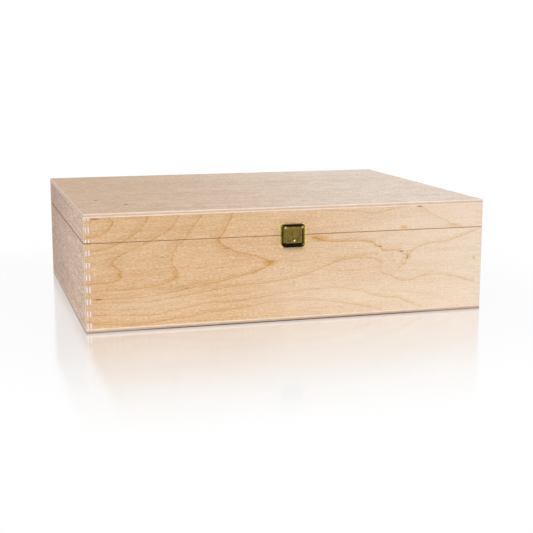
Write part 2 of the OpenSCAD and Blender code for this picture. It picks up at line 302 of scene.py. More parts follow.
def ring_height(wires, spot):
    """Height in growth rings under a point of a veneer peeled off a log: a steady climb
    across the grain and long hills, whose contours are the lines of the figure."""
    up = wires.split(spot)[1]
    hills = wires.lumps(spot, 150.0, 46.0, detail=1.0, roughness=0.35)
    swells = wires.lumps(spot, 42.0, 13.0, detail=1.0)
    return up / RING_GAP_MM + hills * HILL_RINGS + swells * SWELL_RINGS


def build_peeled_figure(wires, given):
    """Lines of growth rings on a peeled veneer. A line's width in millimetres is its distance
    in rings over the slope of the ring height, which two more points a step away give."""
    spot = own_place(wires, given, FIGURE_SHIFT_MM)
    here = ring_height(wires, spot)
    slopes = [
        (ring_height(wires, wires.vector("ADD", spot, ahead)) - here) / SLOPE_STEP_MM
        for ahead in ((SLOPE_STEP_MM, 0.0, 0.0), (0.0, SLOPE_STEP_MM, 0.0))
    ]
    squares = slopes[0] * slopes[0] + slopes[1] * slopes[1]
    slope = wires.math("SQRT", squares + LEAST_SLOPE_SQUARED)
    part = wires.math("FRACT", here)
    off_line = abs(part - 0.5) / slope
    strength = wires.step(wires.lumps(spot, 60.0, 20.0), 0.25, 0.65)
    return {
        "Line": wires.step(off_line, RING_LINE_MM, LINE_CORE_MM) * strength,
        "Shade": wires.step(part, 0.1, 0.5) * wires.step(part, 0.56, 0.5) * strength,
    }


peeled_figure = effect(
    "peeled_figure",
    dict(Place=NOWHERE, Sample=0.0),
    dict(Line=0.0, Shade=0.0),
    build_peeled_figure,
)


def ring_line(width, dark, *points):
    """A drawn line: how far from its middle it has faded, how dark it is, and its points."""
    return {"width": width, "dark": dark, "points": points}


def oval(at, size, dark):
    """A soft oval mark: its middle, its half length and half height, and how dark it is."""
    return {"at": at, "size": size, "dark": dark}


# The drawn lines of the front's figure, in millimetres from the left end and above the table.
# Upright lines give the height first, level lines the distance from the left end.
UPRIGHT_RINGS = (
    ring_line(1.1, 1.0, (79, 1), (80, 12), (84, 19), (89, 23.5), (92, 23), (94, 21)),
    ring_line(1.0, 0.8, (67, 1), (68, 12), (71, 24), (77, 36), (83, 45), (89, 50), (94, 53)),
    ring_line(
        1.0, 0.8, (41, 22), (43, 28), (47, 29), (51, 28), (57, 22), (62, 28), (69, 43), (76, 58),
        (83, 70), (94, 78),
    ),
    ring_line(
        1.1, 0.75, (40, 70), (44, 75), (48, 75.5), (53, 72.5), (61, 72), (67, 75), (74, 82),
        (82, 88), (94, 97),
    ),
    ring_line(
        1.3, 0.85, (43, 140), (47, 150), (51, 156), (54, 151), (58, 140), (63, 123), (67, 115),
        (72, 111), (78, 115), (94, 123),
    ),
    ring_line(0.9, 0.45, (83, 187), (88, 191), (94, 198)),
    ring_line(1.1, 0.6, (74, 332), (77, 322), (81, 314), (85, 305), (90, 297), (94, 290)),
    ring_line(
        0.8, 0.9, (41, 271), (42.2, 275), (44, 277.2), (47.2, 278.6), (50.5, 279.6), (54, 279),
    ),
    ring_line(0.8, 0.6, (36, 258), (38, 256), (42, 255.2), (46, 254.8), (48, 252.5)),
    ring_line(0.9, 0.35, (42, 274), (44.8, 268.2), (49.6, 265.4), (55.3, 265.9)),
)
LEVEL_RINGS = (
    ring_line(1.0, 0.75, (0, 41), (12, 40.5), (20, 41), (28, 44)),
    ring_line(1.1, 0.8, (0, 34), (20, 34.5), (45, 35), (60, 37), (76, 43)),
    ring_line(1.0, 0.4, (0, 31), (30, 30.8), (60, 32.4), (84, 35.5), (104, 38.5)),
    ring_line(1.0, 0.4, (8, 19.8), (50, 18), (84, 21.5), (110, 25), (150, 28), (176, 31)),
    ring_line(
        1.1, 0.8, (0, 28), (11, 27.6), (33, 27.6), (54, 28), (71, 30.5), (98, 35), (115, 38),
        (130, 41), (144, 45),
    ),
    ring_line(
        1.1, 0.7, (0, 25), (29, 24.3), (47, 23.4), (67, 25), (83, 27.6), (100, 29.7), (120, 32),
        (160, 35), (185, 39), (208, 47), (225, 51), (235, 51.5), (245, 50.5), (252, 48.5),
        (256, 46),
    ),
    ring_line(1.3, 0.4, (212, 49.5), (226, 53.5), (240, 54.7), (252, 54.3)),
    ring_line(
        1.1, 0.75, (0, 15), (25, 13.8), (42, 12.6), (56, 12.6), (71, 15), (88, 17.5), (100, 19.7),
        (120, 19.5), (140, 21), (163, 24), (188, 26), (220, 25.5), (235, 22.6), (251, 17.6),
        (260, 15.5), (271, 14.5), (278, 10.9), (287, 7.2), (293, 5),
    ),
    ring_line(
        1.0, 0.7, (0, 8), (21, 6.3), (38, 5.1), (54, 5.9), (71, 8), (88, 9.5), (104, 11.8),
        (125, 13.5), (162, 17), (188, 17), (212, 14.5), (225, 12), (238, 9.3), (246, 7),
        (256, 4.7),
    ),
    ring_line(
        1.2, 0.9, (193, 71), (207, 67), (225, 66.2), (235, 65.9), (246, 64.2), (250, 61.5),
        (254, 60), (257, 57), (263, 56.4), (271, 56), (275, 53.6), (279, 52),
    ),
    ring_line(
        1.1, 0.75, (280, 51), (283, 54.7), (289, 58.2), (297, 60.8), (307, 62.2), (317, 62.8),
        (325, 65), (335, 68.2), (350, 73),
    ),
    ring_line(
        1.0, 0.65, (257, 36.5), (264, 34.3), (270, 31), (277, 29.3), (284, 29.7), (292, 32.2),
        (302, 33.4), (318, 31.8), (331, 28.4), (343, 25), (350, 23),
    ),
    ring_line(
        1.0, 0.5, (200, 93.5), (222, 92.4), (235, 91.8), (248, 89.3), (256, 90.5), (268, 92.8),
        (280, 94),
    ),
    ring_line(1.2, 0.2, (203, 44), (230, 41), (252, 43)),
    ring_line(1.2, 0.2, (296, 53), (320, 54), (345, 53)),
    ring_line(1.2, 0.3, (236, 24), (252, 21.5), (268, 20), (285, 18), (301, 14.7), (314, 10.5)),
)
# Marks on the front, their places measured from the left end and above the table
DARK_SPOTS = (
    oval((9, 93.5), (5, 0.7), 0.9),
    oval((10.4, 27.6), (2.4, 0.7), 0.9),
    oval((84, 32.6), (2.0, 0.5), 0.5),
    oval((46, 58.5), (4.0, 0.5), 0.3),
    oval((65, 59.5), (4.0, 0.5), 0.3),
    oval((118, 65), (7, 0.5), 0.5),
    oval((289.5, 93.8), (2.4, 0.9), 1.0),
    oval((253.8, 60.3), (1.8, 0.7), 0.7),
    oval((273.4, 55.2), (2.4, 0.7), 0.9),
    oval((279.2, 50), (0.7, 2.6), 0.6),
)
GOLD_SPOTS = (
    oval((155, 51), (7, 3), 0.8),
    oval((198, 69.5), (10, 2.6), 0.7),
    oval((275.8, 76.2), (4.4, 1.9), 0.9),
    oval((344, 46.3), (3, 2.4), 0.8),
    oval((322, 76.5), (7, 1.6), 0.5),
    oval((281, 50), (3, 3), 0.6),
    oval((29, 48), (3, 4), 0.4),
    oval((75, 45), (4, 5), 0.4),
    oval((111, 72), (3, 3), 0.5),
)
PALE_SPOTS = (
    oval((195, 20), (80, 16), 0.5),
    oval((60, 21), (60, 14), 0.3),
)
# Marks on the lid's top, measured from the left end and from the front
LID_SPOTS = (
    oval((42.5, 50.6), (2.2, 3.6), 1.0),
    oval((21.2, 84), (2.0, 3.4), 0.9),
    oval((37, 68), (0.7, 7), 0.3),
    oval((44, 106), (1.0, 16), 0.25),
    oval((19.3, 160), (0.9, 14), 0.25),
)
# The drawn lines: a line is full that far inside its ends and has faded that far past them
RING_SPREAD = 0.9
RING_FULL_MM, RING_FADED_MM = 0.5, 2.5
RING_STEP_MM = 0.8
SHADE_REACH_MM = 9.0
ECHO_SHARE = 0.35
ECHO_LINE_MM = 0.9
WEAK_SHARE, RIGHT_SHARE = 0.45, 0.8
# How far noise moves them along the board and up it, and how deep in the board they end
WOBBLE_MM, JAGS_MM = (2.4, 1.1), (3.8, 0.5)
OUTER_MM, INNER_MM = 1.0, 2.0
# Where an oval mark is at its darkest and where it has faded, in half its size
OVAL_CORE, OVAL_END = 0.2, 1.3


def drawn_curve(wires, along, points, length, height):
    """The height of a drawn line at a place along it, both in millimetres."""
    made = wires.node("FloatCurve", 1.0)
    wires.feed(made.inputs["Value"], along / length)
    curve = made.mapping.curves[0]
    spots = [(at / length, value / height) for at, value in points]
    curve.points[0].location = spots[0]
    curve.points[1].location = spots[-1]
    for spot in spots[1:-1]:
        curve.points.new(*spot)
    made.mapping.extend = "HORIZONTAL"
    made.mapping.update()
    return wires.out(made) * height


def drawn_ring(wires, along, across, ring, length, height):
    """One drawn line: how near it is, the distance to its side, and its strength there."""
    points = ring["points"]
    here = drawn_curve(wires, along, points, length, height)
    ahead = drawn_curve(wires, along + RING_STEP_MM, points, length, height)
    slope = (ahead - here) / RING_STEP_MM
    off_line = (across - here) / wires.math("SQRT", slope * slope + 1.0)
    start, end = points[0][0], points[-1][0]
    begun = wires.step(along, start - RING_FADED_MM, start + RING_FULL_MM)
    weight = begun * wires.step(along, end + RING_FADED_MM, end - RING_FULL_MM) * ring["dark"]
    line = wires.step(abs(off_line), ring["width"] * RING_SPREAD, LINE_CORE_MM)
    return line * weight, off_line, weight


def oval_marks(wires, along, up, ovals):
    """How strongly the marks of a list show at a place."""
    total = 0.0
    for mark in ovals:
        left = (along - mark["at"][0]) / mark["size"][0]
        high = (up - mark["at"][1]) / mark["size"][1]
        near = wires.step(wires.span(left, high), OVAL_END, OVAL_CORE)
        total = wires.math("MAXIMUM", total, near * mark["dark"])
    return total


def build_front_figure(wires, given):
    """The front's own figure: drawn ring lines, which cross from the box to the lid, jagged
    where they cross the fibres, with a soft shade and faint echoes on their inner side. It
    lies on the outer face only, and pales to the right."""
    place = given["Place"]
    along, up, deep = wires.split(place)
    wobble = wires.lumps(place, 9.0, 5.0, detail=2.0) - 0.5
    jags = wires.lumps(place, 9.0, 0.9, detail=2.0, roughness=0.6) - 0.5
    strength = wires.step(wires.lumps(place, 22.0, 9.0, detail=1.0), 0.2, 0.62)
    broken = wires.step(wires.lumps(place, 16.0, 4.0, detail=1.0), 0.42, 0.6)
    along = along + wobble * WOBBLE_MM[0] + jags * JAGS_MM[0]
    up = up + wobble * WOBBLE_MM[1] + jags * JAGS_MM[1]
    line, shade = 0.0, 0.0
    # Each set with its two axes and their lengths, its inner side, and the millimetres from a
    # line to its echo, to where its shade ends, and to where its sharp side ends
    for rings, run, rise, length, height, inner, to_echo, to_end, to_rim in (
        (UPRIGHT_RINGS, up, along, height_mm, width_mm, -1, 3.4, SHADE_REACH_MM, 1.2),
        (LEVEL_RINGS, along, up, width_mm, height_mm, 1, 1.9, SHADE_REACH_MM / 2, 1.0),
    ):
        for ring in rings:
            near, off_line, weight = drawn_ring(wires, run, rise, ring, length, height)
            echo = wires.step(abs(off_line - inner * to_echo), ECHO_LINE_MM, LINE_CORE_MM)
            echo = echo * weight * broken * ECHO_SHARE
            line = wires.math("MAXIMUM", line, wires.math("MAXIMUM", near, echo))
            soft = wires.step(off_line, inner * to_end, 0.0)
            soft = soft * wires.step(off_line, -inner * to_rim, 0.0)
            shade = wires.math("MAXIMUM", shade, soft * weight)
    outer = wires.step(deep, INNER_MM, OUTER_MM)
    leftward = wires.step(along, width_mm * 1.1, width_mm * 0.5)
    paler = leftward * (1 - RIGHT_SHARE) + RIGHT_SHARE
    return {
        "Line": line * outer * paler * (strength * (1 - WEAK_SHARE) + WEAK_SHARE),
        "Shade": shade * outer,
        "Dark": oval_marks(wires, along, up, DARK_SPOTS) * outer,
        "Gold": oval_marks(wires, along, up, GOLD_SPOTS) * outer,
        "Pale": oval_marks(wires, along, up, PALE_SPOTS) * outer,
    }


front_figure = effect(
    "front_figure",
    dict(Place=NOWHERE),
    dict(Line=0.0, Shade=0.0, Dark=0.0, Gold=0.0, Pale=0.0),
    build_front_figure,
)


# How much the grain's dark and pale places change the red, the green and the blue of the wood
GRAIN_TINT = (0.95, 1.15, 1.6)
UNCHANGED = (1.0, 1.0, 1.0)
# How strongly each stain and mark of the veneer shows at most
BAND_SHARE, STREAK_SHARE, SHADE_SHARE = 0.5, 0.55, 0.4
PORE_SHARE, FLECK_SHARE, PALE_SHARE, DARK_SHARE = 0.35, 0.3, 0.5, 0.8
# How much lighter and darker the fine grain makes the veneer
FIBRE_LIGHT, HAIR_LIGHT, SPECK_LIGHT = 0.3, 0.35, 0.8
# Over how much of the board's length its two tones meet, and how far the line wanders
TURN_REACH, TURN_WANDER = 0.43, 0.4


def build_birch_veneer(wires, given):
    """Sanded birch between the tones of its two ends: bands, streaks of fibres, short pores and
    pale flecks, under the ring lines, their shade and the spots that the figure gives. A stain
    darkens what lies under it, so it suits a board of any tone."""
    spot = own_place(wires, given, VENEER_SHIFT_MM)
    slow = wires.lumps(spot, 160.0, 50.0, detail=1.0)
    bands = wires.step(wires.lumps(spot, 110.0, 6.0, detail=3.0, roughness=0.6), 0.42, 0.72)
    streaks = wires.step(wires.lumps(spot, 17.0, 0.95, detail=2.0, roughness=0.6), 0.42, 0.72)
    fibres = wires.lumps(spot, 26.0, 0.55, detail=3.0, roughness=0.65)
    hairs = wires.lumps(spot, 6.0, 0.25, detail=2.0)
    specks = wires.lumps(spot, 2.4, 0.75, detail=1.0)
    coarse = wires.lumps(spot, 18.0, 1.7, 4.0, detail=3.0, roughness=0.75)
    pores = wires.step(wires.lumps(spot, 6.0, 0.45, detail=1.0), 0.66, 0.74)
    flecks = wires.step(wires.lumps(spot, 5.0, 0.8, detail=0.0), 0.68, 0.8)
    cloud = wires.lumps(spot, 14.0, 9.0, detail=2.0)

    turn = given["Run"] - given["Turn"] + (slow - 0.5) * TURN_WANDER
    share = wires.step(turn, -TURN_REACH, TURN_REACH)
    plain = 1.0 - share * given["Calm"]
    calm = given["Grain"] * plain
    colour = wires.blend(share, given["Left"], given["Right"])
    colour = wires.blend(bands * plain * BAND_SHARE, colour, BAND_STAIN, "MULTIPLY")
    colour = wires.blend(streaks * calm * STREAK_SHARE, colour, FIBRE_STAIN, "MULTIPLY")
    colour = wires.blend(given["Shade"] * SHADE_SHARE, colour, SHADE_STAIN, "MULTIPLY")
    colour = wires.blend(given["Line"], colour, RING_STAIN, "MULTIPLY")
    colour = wires.blend(given["Gold"], colour, GOLD_STAIN, "MULTIPLY")
    light = (fibres - 0.5) * FIBRE_LIGHT + (hairs - 0.5) * HAIR_LIGHT
    light = (light + (specks - 0.5) * SPECK_LIGHT) * calm
    light = light + (cloud - 0.5) * given["Mottle"] + (coarse - 0.5) * given["Coarse"]
    tint = wires.vector("MULTIPLY_ADD", light, GRAIN_TINT, UNCHANGED)
    colour = wires.vector("MULTIPLY", colour, tint)
    colour = wires.blend(pores * PORE_SHARE * calm, colour, PORE_BROWN)
    colour = wires.blend(flecks * FLECK_SHARE + given["Pale"] * PALE_SHARE, colour, PALE_FLECK)
    colour = wires.blend(given["Dark"] * DARK_SHARE, colour, KNOT_BROWN)
    return {
        "Colour": colour,
        "Roughness": (fibres - 0.5) * 0.25 + pores * 0.1 + 0.58,
        "Height": fibres * 0.5 + hairs * 0.3 - pores * 0.9 - given["Line"] * 0.15,
    }


birch_veneer = effect(
    "birch_veneer",
    dict(
        Place=NOWHERE, Sample=0.0, Left=WHITE, Right=WHITE, Run=0.5, Turn=0.5,
        Grain=1.0, Calm=0.0, Mottle=0.1, Coarse=0.1,
        Line=0.0, Shade=0.0, Dark=0.0, Gold=0.0, Pale=0.0,
    ),
    FINISH,
    build_birch_veneer,
)


# How far a ply wanders, in plies, and how strongly the glue beside it shows
PLY_WANDER = 0.22
GLUE_SHARE = 0.3


def build_ply_edge(wires, given):
    """Sawn edge of plywood: pale outer plies, dark crossed plies between thin glue lines,
    saw marks, and the open pores of the plies that are cut across their grain."""
    along, up, deep = wires.split(given["Place"])
    ply = deep / given["Thickness"] * given["Plies"]
    wavy = ply + (wires.lumps(given["Place"], 9.0, 9.0, detail=1.0) - 0.5) * PLY_WANDER
    crossed = wires.math("MODULO", wires.math("FLOOR", wavy), 2.0)
    glue = wires.step(abs(wires.math("FRACT", wavy + 0.5) - 0.5), 0.1, 0.03)
    run = wires.between(given["End"], along, up)
    streaks = wires.noise(wires.join(run / 11.0, deep / 0.35, 0.0), detail=3.0)
    dots = wires.step(wires.noise(wires.join(run / 0.5, deep / 0.4, 3.0), detail=1.0), 0.6, 0.72)
    blotch = wires.noise(wires.join(run / 8.0, deep / 2.0, 7.0), detail=2.0)
    colour = wires.blend(crossed, given["Outer"], given["Crossed"])
    pores = dots * wires.between(crossed, 0.1, 0.35) * given["Pores"]
    colour = wires.blend(pores, colour, END_PORE)
    colour = wires.blend(glue * given["Pores"] * GLUE_SHARE, colour, GLUE_BROWN)
    light = (streaks - 0.5) * 0.25 + (blotch - 0.5) * 0.3 + 1.0
    return {
        "Colour": wires.scaled(colour, light),
        "Roughness": (streaks - 0.5) * 0.2 + 0.72,
        "Height": streaks * 0.6 - dots * 0.8 - glue * 0.5 - crossed * 0.3,
    }


ply_edge = effect(
    "ply_edge",
    dict(
        Place=NOWHERE, End=0.0, Thickness=6.0, Plies=3.0, Outer=WHITE, Crossed=WHITE, Pores=1.0,
    ),
    FINISH,
    build_ply_edge,
)


# A painted contact shadow along the foot: how high it reaches and how strong it is
FOOT_SHADOW_MM = 2.1
FOOT_SHADOW_SHARE = 0.85
# How strongly the painted highlight, partly worn pale end grain, shows along softened corners
CORNER_HIGHLIGHT_SHARE = 0.6
# How squarely a surface faces outwards where plies turn into veneer, and at the two sides of
# the pale strip along a softened corner, a painted highlight that is partly worn pale end grain
FACE_TURN = (0.5, 0.65)
STRIP_START, STRIP_END = (0.55, 0.68), (0.93, 0.8)
SPOT_DEEP_MM = 1.0
WOOD_BUMP_MM, WOOD_BUMP = 0.12, 0.35
WOOD_SPECULAR = 0.25
seam_z = (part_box("front_board")[1].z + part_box("lid_front_rail")[0].z) / 2


def new_material(name):
    """A material, the wires to build it with, and its shader."""
    material = bpy.data.materials.new(name)
    material.use_nodes = True
    wires = Wires(material.node_tree)
    return material, wires, material.node_tree.nodes["Principled BSDF"]


def finish_surface(wires, shader, finish, bump_mm, bump):
    """Feeds the shader a finish's colour and roughness, and its height as a bump."""
    bumps = wires.fill(
        wires.node("Bump"), Strength=bump, Distance=bump_mm * MM, Height=finish["Height"]
    )
    wires.fill(shader, Base_Color=finish["Colour"], Roughness=finish["Roughness"])
    wires.feed(shader.inputs["Normal"], wires.out(bumps))


def board_corner(along, deep):
    """The corner of the whole box from which a board's three axes lead inwards."""
    axes = along + along.cross(deep) + deep
    return [low if step > 0 else high for low, high, step in zip(wood_low, wood_high, axes)]


def board_wood(
    name, along, deep, thickness_mm, sample, tones,
    plies=PLAIN_PLIES, ply_count=5.0, pores=1.0, turn=0.5, grain=1.0, calm=0.0, mottle=0.08,
    coarse=0.1, figure=0.6, seam=SEAM_STAIN_AND_SHADE, seam_mm=0.7, drawn=False, spots=(), corner=None,
):
    """Plywood of one board: veneer on its two faces and plies on its edges. Along is the way its
    grain runs and deep the way into it. Tones are its colours at the left and right ends, and
    turn is where they meet. Plies are the outer and the crossed plies' colours, and pores says
    how open they are. Grain is how much the fibres show, calm how much less to the right, mottle
    how cloudy the face is, coarse how streaky and figure the strength of its ring lines. Drawn
    puts the front's own lines on the outer face, and spots are marks there. Beside the cut
    between box and lid the wood is darkened with seam, as far as seam_mm: partly a saw stain,
    partly painted shade in the gap. Corner is needed for a board inside."""
    material, wires, shader = new_material(name)
    along, deep = Vector(along), Vector(deep)
    spot = wires.node("TexCoord")
    lie = wires.use(
        board_place, Object=wires.out(spot, "Object"), Facing=wires.out(spot, "Normal"),
        Corner=tuple(corner or board_corner(along, deep)), Along=tuple(along), Deep=tuple(deep),
    )
    place = lie["Place"]
    across, up, inward = wires.split(place)
    peeled = wires.use(peeled_figure, Place=place, Sample=float(sample))
    marks = {"Line": peeled["Line"] * figure, "Shade": peeled["Shade"] * figure}
    if spots:
        stain = wires.step(inward, SPOT_DEEP_MM, SPOT_DEEP_MM / 2)
        marks["Dark"] = oval_marks(wires, across, up, spots) * stain
    if drawn:
        own = wires.use(front_figure, Place=place)
        inner = wires.step(inward, OUTER_MM, INNER_MM)
        for title in marks:
            own[title] = own[title] + marks[title] * inner
        marks = own
    length_mm = abs((wood_high - wood_low).dot(along)) / MM
    veneer = wires.use(
        birch_veneer, Place=place, Sample=float(sample), Left=tones[0], Right=tones[1],
        Run=across / length_mm, Turn=turn, Grain=grain, Calm=calm, Mottle=mottle, Coarse=coarse,
        **marks,
    )
    edge = wires.use(
        ply_edge, Place=place, End=lie["End"], Thickness=thickness_mm, Plies=ply_count,
        Outer=plies[0], Crossed=plies[1], Pores=pores,
    )
    face = wires.step(lie["Face"], *FACE_TURN)
    height = wires.split(wires.out(spot, "Object"))[2]
    # Painted contact shadow within a few millimetres of the table
    foot = wires.step(height, FOOT_SHADOW_MM * MM, 0.0) * FOOT_SHADOW_SHARE
    # Darkened beside the seam: partly a saw stain, partly painted shade in the gap
    seam_darkening = wires.step(abs(height - seam_z), seam_mm * MM, 0.0)
    # A painted highlight, partly worn pale end grain, on the chamfers of softened corners
    highlight_strip = wires.step(lie["Face"], *STRIP_START) * wires.step(lie["Face"], *STRIP_END)
    colour = wires.blend(face, edge["Colour"], veneer["Colour"])
    colour = wires.blend(highlight_strip * (1.0 - seam_darkening) * CORNER_HIGHLIGHT_SHARE, colour, CORNER_HIGHLIGHT_AND_WEAR)
    colour = wires.blend(seam_darkening, colour, seam, "MULTIPLY")
    finish = {
        "Colour": wires.blend(foot, colour, FOOT_SHADOW, "MULTIPLY"),
        "Roughness": wires.between(face, edge["Roughness"], veneer["Roughness"]),
        "Height": wires.between(face, edge["Height"], veneer["Height"]),
    }
    finish_surface(wires, shader, finish, WOOD_BUMP_MM, WOOD_BUMP)
    shader.inputs["Specular IOR Level"].default_value = WOOD_SPECULAR
    return material


def build_aged_brass(wires, given):
    """Brass that was blackened and rubbed: dark patina in the hollows, with painted shade and
    dark reflections where the dark mask puts them, bright metal on what stands proud, with
    painted highlights where the bright mask puts them, stains, fine brushing and scratches."""
    place = given["Place"]
    stains = wires.lumps(place, 3.5, 3.5, detail=3.0, roughness=0.6)
    mottle = wires.lumps(place, 0.9, 0.9, detail=2.0)
    brushing = wires.lumps(place, 2.5, 0.1, 2.5, detail=2.0)
    scratches = wires.step(wires.lumps(place, 0.16, 4.0, 4.0, detail=1.0, warp=0.6), 0.68, 0.75)
    colour = wires.blend(wires.step(stains, 0.35, 0.65), given["Metal"], given["Stain"])
    # The dark mask: patina, and on the cover painted shade and painted dark reflections too
    dark = given["Hollow"] + wires.step(mottle, 0.6, 0.8) * given["Tarnish"] * 0.25
    colour = wires.blend(wires.step(dark, 0.1, 1.0), colour, PATINA_AND_SHADE_BLACK)
    # The bright mask: rubbed metal and scratches, and on the cover painted highlights too
    worn = given["Worn"] * wires.step(mottle, 0.25, 0.5) + scratches * 0.2
    colour = wires.blend(wires.step(worn, 0.0, 1.0), colour, BRIGHT_BRASS)
    light = (brushing - 0.5) * 0.25 + (mottle - 0.5) * given["Tarnish"] * 0.3 + 1.0
    rough = given["Hollow"] * 0.3 + (stains - 0.5) * 0.3 + (brushing - 0.5) * 0.1 + 0.36
    uneven = (mottle * 0.3 + stains * 0.4) * given["Tarnish"]
    return {
        "Colour": wires.scaled(colour, light),
        "Roughness": rough,
        "Height": brushing * 0.2 + uneven - scratches * 0.3,
    }


aged_brass = effect(
    "aged_brass",
    dict(Place=NOWHERE, Metal=WHITE, Stain=WHITE, Tarnish=1.0, Hollow=0.0, Worn=0.0),
    FINISH,
    build_aged_brass,
)


BRASS_BUMP_MM, BRASS_BUMP = 0.05, 0.2
# The darkening past a plate's rims: half its width, its soft ends and edges, and its strength
RIM_HALF_MM = 9.5
RIM_END_MM = 2.0
RIM_FADE_MM = 0.3
RIM_DARKENING = 0.55


def brass(name, metal, stain, tarnish=1.0, masks=False, rims=None):
    """Brass for one kind of part, the more mottled the more it is tarnished. With masks, the
    piece's own attributes give its dark places, patina with painted shade, and its bright ones,
    worn edges with painted highlights. Rims are two heights in millimetres, past which the plate
    is darker."""
    material, wires, shader = new_material(name)
    spot = wires.node("TexCoord")
    place = wires.scaled(wires.out(spot, "Object"), 1 / MM)
    given = {"Place": place, "Metal": metal, "Stain": stain, "Tarnish": tarnish}
    if masks:
        for title in ("Hollow", "Worn"):
            made = wires.node("Attribute", attribute_name=title.lower())
            given[title] = wires.out(made, "Fac")
    if rims:
        # The plate is darker past the cover's rims
        across, _, height = wires.split(place)
        past = wires.step(height, rims[0] + RIM_FADE_MM, rims[0])
        past = past + wires.step(height, rims[1] - RIM_FADE_MM, rims[1])
        within = wires.step(abs(across), RIM_HALF_MM, RIM_HALF_MM - RIM_END_MM)
        given["Hollow"] = past * within * RIM_DARKENING
    shader.inputs["Metallic"].default_value = 1.0
    finish_surface(wires, shader, wires.use(aged_brass, **given), BRASS_BUMP_MM, BRASS_BUMP)
    return material


def finish_node(name, material):
    """A carried-over part gets its material in its own slots."""
    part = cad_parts[name]
    part.data.materials.clear()
    part.data.materials.append(material)


RIGHT, BACK, UP = (1, 0, 0), (0, 1, 0), (0, 0, 1)
LEFT, FRONT, DOWN = (-1, 0, 0), (0, -1, 0), (0, 0, -1)
board_mm = (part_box("front_board")[1].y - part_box("front_board")[0].y) / MM
panel_mm = (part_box("lid_panel")[1].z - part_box("lid_panel")[0].z) / MM

# The front runs from golden at the left to pale at the right: partly the wood's own tone, partly
# painted light, lighter where more light fell.
front_wood = board_wood(
    "front_wood", RIGHT, BACK, board_mm, 0, (GOLDEN_BIRCH, PALE_BIRCH),
    turn=0.68, grain=0.8, calm=0.6, drawn=True,
)
back_wood = board_wood(
    "back_wood", LEFT, FRONT, board_mm, 1, (GOLDEN_BIRCH, PALE_BIRCH), figure=0.8,
)
# The left side is darker and greyer than the front and darkest towards the back: partly the
# wood's own tone, partly painted shade and sheen.
left_wood = board_wood(
    "left_wood", FRONT, RIGHT, board_mm, 2, (SHADED_MAUVE_BIRCH, ROSY_BIRCH),
    plies=COOL_PLIES, grain=1.8, mottle=0.14, coarse=1.1, figure=0.25,
    seam=SIDE_SEAM_STAIN_AND_SHADE, seam_mm=1.1,
)
right_wood = board_wood(
    "right_wood", BACK, LEFT, board_mm, 3, (PALE_BIRCH, GOLDEN_BIRCH),
    plies=FAINT_PLIES, pores=0.4, figure=0.7,
)
# The lid's top is greyer and darker at the left and whiter at the right: partly the wood's own
# tone, partly painted light and sheen.
lid_wood = board_wood(
    "lid_wood", RIGHT, DOWN, panel_mm, 4, (GREY_BIRCH, WHITE_BIRCH),
    plies=PANEL_PLIES, ply_count=3.0, grain=1.2, mottle=0.25, coarse=0.7, figure=0.15,
    spots=LID_SPOTS,
)
bottom_wood = board_wood(
    "bottom_wood", RIGHT, UP, panel_mm, 5, (GREY_BIRCH, PALE_BIRCH),
    plies=PANEL_PLIES, ply_count=3.0, figure=0.5,
)

for side, wood in (
    ("front", front_wood), ("back", back_wood), ("left", left_wood), ("right", right_wood),
):
    finish_node(f"{side}_board", wood)
    finish_node(f"lid_{side}_rail", wood)
finish_node("lid_panel", lid_wood)
finish_node("bottom_panel", bottom_wood)

for sample, name in enumerate(("front_divider", "rear_divider"), start=6):
    low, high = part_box(name)
    divider_mm = (high.y - low.y) / MM
    tones = (PALE_BIRCH, GOLDEN_BIRCH)
    wood = board_wood(name + "_wood", RIGHT, BACK, divider_mm, sample, tones, corner=low)
    finish_node(name, wood)


def mesh_piece(name, points, faces, material, masks=None):
    """A piece from its points in metres and its faces, with a value a point for each mask."""
    mesh = bpy.data.meshes.new(name)
    mesh.from_pydata(points.tolist(), [], faces)
    mesh.validate()
    for title, values in (masks or {}).items():
        layer = mesh.attributes.new(title, "FLOAT", "POINT")
        layer.data.foreach_set("value", values.astype(np.float32))
    mesh.materials.append(material)
    mesh.shade_smooth()
    piece = bpy.data.objects.new(name, mesh)
    bpy.context.scene.collection.objects.link(piece)
    return piece


# The clasp's cover in millimetres. Its x is the box's, its z the height above the table, and
# out is the distance from the box's front.
cover_low, cover_high = (np.array(corner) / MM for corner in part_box("clasp_cover"))
pin_low, pin_high = (np.array(corner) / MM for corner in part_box("clasp_pin"))
keeper_low = np.array(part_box("clasp_keeper")[0]) / MM
nails_high = np.array(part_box("clasp_keeper_nails")[1]) / MM
wood_front_mm = -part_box("front_board")[0].y / MM
cover_half = cover_high[0]
pin_z = (pin_low[2] + pin_high[2]) / 2
pin_out = -(pin_low[1] + pin_high[1]) / 2 - wood_front_mm
roll_r = cover_high[2] - pin_z
face_out = pin_out + roll_r
field_rise = -cover_low[1] - wood_front_mm - face_out
back_out = pin_out - roll_r
NOTCH_ROOM = 0.25
notch_half = nails_high[0] + NOTCH_ROOM
notch_out = -keeper_low[1] - wood_front_mm + NOTCH_ROOM
SHEET_MM = 0.5
COVER_TOP_R, COVER_BOTTOM_R = 2.0, 3.2
COVER_EDGE_R = 0.55
FIELD_SIDE, FIELD_ABOVE, FIELD_BELOW = 2.4, 1.7, 3.1
FIELD_CORNER = 0.9
BEVEL_MM = 1.1
GROOVE_DEEP, GROOVE_WIDE, GROOVE_BEYOND = 0.16, 0.4, 0.15
DIMPLE_UP, DIMPLE_R, DIMPLE_DEEP = 6.2, 1.5, 0.8
CORNER_STEPS, SIDE_STEPS = 16, 44
WALL_RINGS, EDGE_RINGS, FACE_RINGS = 8, 8, 72


def smooth_rise(value, low, high):
    """0 below low, 1 above high and 3t2 - 2t3 between them, where t is the share of the way."""
    share = np.clip((value - low) / (high - low), 0, 1)
    return share * share * (3 - 2 * share)


